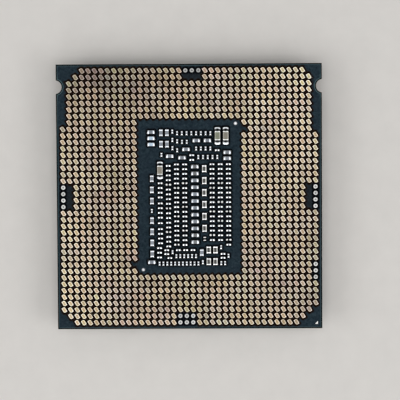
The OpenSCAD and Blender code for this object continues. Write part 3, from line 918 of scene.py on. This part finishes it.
def bare_domes():
    """Uneven domes of solder on the sites that hold no capacitor."""
    rng = np.random.default_rng(51)
    rings, steps = 6, 20
    shapes = []
    for low, high in islands("bare_site_solder"):
        half, height = (high - low)[:2] / 2, high[2] - low[2]
        # Bars have squarer ends than round bumps
        power = 1.0 if abs(half[0] - half[1]) < 0.01 * MM else 0.6
        wobble = rng.uniform(0.9, 1.0, 2)
        phase = rng.uniform(0, 6.28)
        verts = []
        for r in range(rings):
            rise = math.sin(r / rings * math.pi / 2)
            out = math.cos(r / rings * math.pi / 2)
            for k in range(steps):
                turn = 2 * math.pi * k / steps
                reach = out * (wobble[0] + (1 - wobble[0]) * math.cos(2 * turn + phase))
                x, y = (math.copysign(abs(p) ** power, p) for p in (math.cos(turn), math.sin(turn)))
                verts.append((reach * half[0] * x, reach * half[1] * y, height * wobble[1] * rise))
        verts.append((0, 0, height * wobble[1]))
        # The last face of the rings would close the top one, where the peak's fan goes
        faces = ring_faces(rings, steps)
        last = (rings - 1) * steps
        faces.remove(tuple(range(last, last + steps)))
        faces += [(last + k, last + (k + 1) % steps, len(verts) - 1) for k in range(steps)]
        tints = linear_array(np.tile(DOME_TONE, (len(verts), 1)))
        shapes.append((np.array(verts) + footing(low, high), faces, tints))
    add_piece("bare_site_domes", shapes, "solder", "bare_site_solder")


bare_domes()


# Substrate, lid and what lies between them

# Faces that turn less than the first angle are one flat face. Edges sharper than the second are rounded
FLAT_ANGLE = math.radians(0.5)
SOFTENED_ANGLE = math.radians(30)
SOFTENED_STEPS = 3


def welded(cad_node):
    """A copy of a CAD node's mesh with its faces joined up and its flat faces whole."""
    bm = bmesh.new()
    bm.from_mesh(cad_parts[cad_node].data)
    bmesh.ops.remove_doubles(bm, verts=bm.verts, dist=WELD)
    bmesh.ops.dissolve_limit(bm, angle_limit=FLAT_ANGLE, verts=bm.verts, edges=bm.edges)
    return bm


def softened(bm, radius):
    """Rounds the sharp edges."""
    edges = [e for e in bm.edges if len(e.link_faces) == 2 and e.calc_face_angle(0) > SOFTENED_ANGLE]
    bmesh.ops.bevel(bm, geom=edges, offset=radius, segments=SOFTENED_STEPS, profile=0.5, affect="EDGES")


def mesh_of(bm, name):
    """The bmesh as a mesh."""
    mesh = bpy.data.meshes.new(name)
    bm.to_mesh(mesh)
    bm.free()
    return mesh


# How far from a land its painted shade on the mask reaches, and the gain that keeps it full right beside the
# land
LAND_REACH = 0.26 * MM
LAND_GAIN = 1.2
# Bare cells amid each side: how far out they start, how far aside they reach, and how far they darken towards
# the painted shade between lands
BARE_FROM = 15 * MM
BARE_TO = 3 * MM
BARE_CLOSENESS = 0.2


def land_shade_nearness(points):
    """How near each mask point is to a land, from 0 in the open to 1 beside it, which sets the painted shade
    there.
    """
    column, row = cells_of(points)
    c, s = math.cos(LAND_TILT), math.sin(LAND_TILT)
    near = np.zeros(len(points))
    flags = np.pad(land_flags, 2)
    for step in np.ndindex(3, 3):
        col, line = column + step[0] - 1, row + step[1] - 1
        dx = points[:, 0] + FIELD_HALF - col * PITCH
        dy = points[:, 1] - FIELD_HALF - FIELD_Y + line * PITCH
        gap_along = np.maximum(np.abs(dx * c + dy * s) - LAND_LENGTH / 2, 0)
        gap_across = np.maximum(np.abs(dy * c - dx * s) - LAND_WIDTH / 2, 0)
        closeness = 1 - np.hypot(gap_along, gap_across) / LAND_REACH
        near = np.maximum(near, flags[line + 2, col + 2] * closeness)
    free = land_flags[np.clip(row, 0, GRID - 1), np.clip(column, 0, GRID - 1)] == 0
    from_middle = np.abs(points[:, :2] - (0, FIELD_Y))
    out, aside = from_middle.max(1), from_middle.min(1)
    bare = free & (out > BARE_FROM) & (out < FIELD_HALF + PITCH / 2) & (aside < BARE_TO)
    return np.clip(np.maximum(LAND_GAIN * near, BARE_CLOSENESS * bare), 0, 1)


def boxes_with_painted_shade():
    """Boxes of capacitors, the solder of bulk ones and of those along X, bare sites' solder and test pads,
    beside which shade is painted.
    """
    boxes = [islands("bare_site_solder"), islands("test_pads")]
    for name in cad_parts:
        if "_capacitor_bodies" in name:
            bodies = islands(name)
            solder = islands(name.replace("bodies", "solder"))
            whole = name.startswith("bulk")
            shown = [whole or facing(box.mean(0), bodies.mean(1))[0] == 0 for box in solder]
            boxes += [bodies, islands(name.replace("bodies", "terminals")), solder[shown]]
    return np.concatenate(boxes)


# How far the painted shade beside chips reaches, its gain, and how much faster it ends on their near side
CHIP_REACH = 0.27 * MM
CHIP_GAIN = 2.3
NEAR_HASTE = 1.2


def chip_shade_nearness(points):
    """How near each mask point is to a capacitor, solder or a test pad, from 0 in the open to 1 beside it,
    which sets the painted shade there.
    """
    near = np.zeros(len(points))
    for low, high in boxes_with_painted_shade():
        beside = np.maximum(np.maximum(low[0] - points[:, 0], points[:, 0] - high[0]), 0)
        beyond = np.maximum(points[:, 1] - high[1], 0) + NEAR_HASTE * np.maximum(low[1] - points[:, 1], 0)
        near = np.maximum(near, 1 - (beside + beyond) / CHIP_REACH)
    return np.clip(CHIP_GAIN * near, 0, 1)


def mask_faces(bm):
    """The faces of the mask's top."""
    return [f for f in bm.faces if f.normal.z > 0.9 and f.calc_center_median().z > MASK_Z - 0.001 * MM]


def edges_of(faces):
    """The edges of some faces, each once."""
    return list({e for f in faces for e in f.edges})


def border_distance(points, borders):
    """Distance of each point, seen from above, from the nearest of the mask's border edges."""
    nearest = np.full(len(points), np.inf)
    for start, end in borders:
        along = end - start
        share = np.clip((points - start) @ along / (along @ along), 0, 1)
        away = points - start - share[:, None] * along
        nearest = np.minimum(nearest, np.hypot(*away.T))
    return nearest


# Window that holds the capacitors: half its width, half its length, and its middle's Y
WINDOW_HALF_X, WINDOW_HALF_Y, WINDOW_Y = 7.4 * MM, 11.2 * MM, -0.2 * MM


def in_window(face):
    """Whether a face of the mask lies in the capacitors' window."""
    centre = face.calc_center_median()
    return abs(centre.x) < WINDOW_HALF_X and abs(centre.y - WINDOW_Y) < WINDOW_HALF_Y


# Steps in from the mask's border to its pale line's peak and end, and the line's tones from the border in
LINE_STEPS = (0.03 * MM, 0.08 * MM)
LINE_TONES = (0.8, 1.0, 0.0)
# Middle of the right notch, how far from a notch the line is strong, and its strength there and elsewhere
NOTCH = (18.88 * MM, 15.56 * MM)
NOTCH_REACH = 1.7 * MM
NOTCH_LINE, PLAIN_LINE = 1.0, 0.45
# Cuts that make the mask's net finer inside the window and outside it, and the least area to cut
WINDOW_CUTS, FIELD_CUTS = 4, 2
LEAST_AREA = 0.1 * PITCH ** 2


def substrate():
    """The laminate, its top cut into a fine net that carries how near the pads and the mask's border are, for
    painted shade and the border's line.
    """
    bm = welded("package_substrate")
    top = mask_faces(bm)
    borders = [[np.array(v.co[:2]) for v in e.verts] for e in edges_of(top)]
    for step in LINE_STEPS:
        bmesh.ops.inset_region(bm, faces=top, thickness=step, use_even_offset=True, use_boundary=True)
    top = mask_faces(bm)
    geom = top + edges_of(top) + list({v for f in top for v in f.verts})
    for normal in ((1, 0, 0), (0, 1, 0)):
        for at in np.arange(-GRID, GRID + 1) * PITCH / 2:
            place = (at * normal[0], at * normal[1] + FIELD_Y, 0)
            cut = bmesh.ops.bisect_plane(bm, geom=geom, plane_co=place, plane_no=normal, dist=1e-9)
            geom = cut["geom"]
    for cuts, inside in ((WINDOW_CUTS, True), (FIELD_CUTS, False)):
        wide = [f for f in mask_faces(bm) if f.calc_area() > LEAST_AREA and in_window(f) == inside]
        bmesh.ops.subdivide_edges(bm, edges=edges_of(wide), cuts=cuts, use_grid_fill=True)
    mesh = mesh_of(bm, "laminate_card")
    points = positions(mesh)
    line = np.interp(border_distance(points[:, :2], borders), [0, LINE_STEPS[0], sum(LINE_STEPS)], LINE_TONES)
    from_notch = np.hypot(np.abs(points[:, 0]) - NOTCH[0], points[:, 1] - NOTCH[1])
    line *= np.where(from_notch < NOTCH_REACH, NOTCH_LINE, PLAIN_LINE)
    tints = [land_shade_nearness(points), line, chip_shade_nearness(points), np.ones(len(points))]
    set_tints(mesh, np.column_stack(tints))
    place_piece("laminate_card", mesh, "laminate", "package_substrate")


substrate()

# Pieces that are CAD nodes with soft edges: the node, the paint and the edges' radius
SOFT_PIECES = {
    "lid": ("heat_spreader", "nickel_plate", 0.08 * MM),
    "sealing_bead": ("lid_sealant", "black_sealant", 0.05 * MM),
}
for name, (cad_node, paint, radius) in SOFT_PIECES.items():
    bm = welded(cad_node)
    softened(bm, radius)
    place_piece(name, mesh_of(bm, name), paint, cad_node)

# CAD nodes that stay and take a better finish
FINISHES = {
    "thermal_interface": "thermal_compound",
    "silicon_die": "silicon",
    "die_underfill": "underfill_resin",
    "printed_corner_mark": "white_ink",
    "plated_corner_mark": "mark_gold",
}
for cad_node, paint in FINISHES.items():
    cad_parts[cad_node].material_slots[0].material = PAINT[paint]


# Floor, light and camera

FLOOR_HALF = 1.5
floor_mesh = bpy.data.meshes.new("floor")
floor_corners = [(x * FLOOR_HALF, y * FLOOR_HALF, 0) for x, y in ((-1, -1), (1, -1), (1, 1), (-1, 1))]
floor_mesh.from_pydata(floor_corners, [], [(0, 1, 2, 3)])
floor_mesh.materials.append(PAINT["pale_floor"])
floor = bpy.data.objects.new("floor", floor_mesh)
scene.collection.objects.link(floor)

# Light from all round: its strength from the horizon and above, its gain from both sides and from nearby
GLOW_LOW, GLOW_HIGH = 0.22, 0.37
GLOW_SIDES = 0.3
GLOW_NEAR = 0.05


def studio():
    """Soft light that is strongest from both sides and weakest from the far side."""
    world = bpy.data.worlds.new("studio")
    world.use_nodes = True
    scene.world = world
    background = world.node_tree.nodes["Background"]
    background.inputs["Color"].default_value = (1, 1, 1, 1)
    sky = node(world, "ShaderNodeTexCoord")
    parts = node(world, "ShaderNodeSeparateXYZ")
    wire(world, sky.outputs["Generated"], parts.inputs[0])
    x, y, z = parts.outputs
    lengthways = span(world, y, -1, 1, GLOW_NEAR, -GLOW_NEAR)
    around = calc(world, "MULTIPLY_ADD", calc(world, "MULTIPLY", x, x), GLOW_SIDES, lengthways)
    level = calc(world, "ADD", around, span(world, z, 0, 1, GLOW_LOW, GLOW_HIGH))
    wire(world, level, background.inputs["Strength"])


studio()

LAMP_DISTANCE = 0.6
# Each lamp's azimuth and elevation in degrees, its side in metres and its power in watts
LAMPS = {
    "overhead": (0, 90, 0.38, 1.18),
    "right": (110, 42, 0.3, 0.7),
    "left": (-110, 42, 0.3, 0.64),
    "front": (180, 38, 0.3, 0.28),
}


def softbox(name, azimuth, elevation, side, power):
    """A square lamp that faces the part."""
    data = bpy.data.lights.new(name, "AREA")
    data.shape = "SQUARE"
    data.size = side
    data.energy = power
    lamp = bpy.data.objects.new(name, data)
    azimuth, elevation = math.radians(azimuth), math.radians(elevation)
    out = LAMP_DISTANCE * math.cos(elevation)
    lamp.location = (out * math.sin(azimuth), out * math.cos(azimuth), LAMP_DISTANCE * math.sin(elevation))
    lamp.rotation_euler = (math.pi / 2 - elevation, 0, math.pi - azimuth)
    scene.collection.objects.link(lamp)


for name, values in LAMPS.items():
    softbox(name, *values)

# The picture's frame: the width that it takes in at the lands, and the point under its middle
FRAME_WIDTH = 56.55 * MM
FRAME_MIDDLE = (1.508 * MM, -0.47 * MM)
CAMERA_DISTANCE = 0.25
# Lean of the line of sight towards +X and +Y, and the camera's turn about it
LEAN = (0.0134, 0.0505)
ROLL = math.radians(-0.33)
camera_data = bpy.data.cameras.new("camera")
camera_data.sensor_width = 36
camera_data.lens = camera_data.sensor_width * CAMERA_DISTANCE / FRAME_WIDTH
camera = bpy.data.objects.new("camera", camera_data)
backward = Vector((*LEAN, 1)).normalized()
right = Vector((0, 1, 0)).cross(backward).normalized()
upright = Matrix((right, backward.cross(right), backward)).transposed()
camera.location = Vector((*FRAME_MIDDLE, MASK_Z)) + CAMERA_DISTANCE * backward
camera.rotation_euler = (upright @ Matrix.Rotation(ROLL, 3, "Z")).to_euler()
scene.collection.objects.link(camera)
scene.camera = camera
scene.view_settings.view_transform = "Standard"
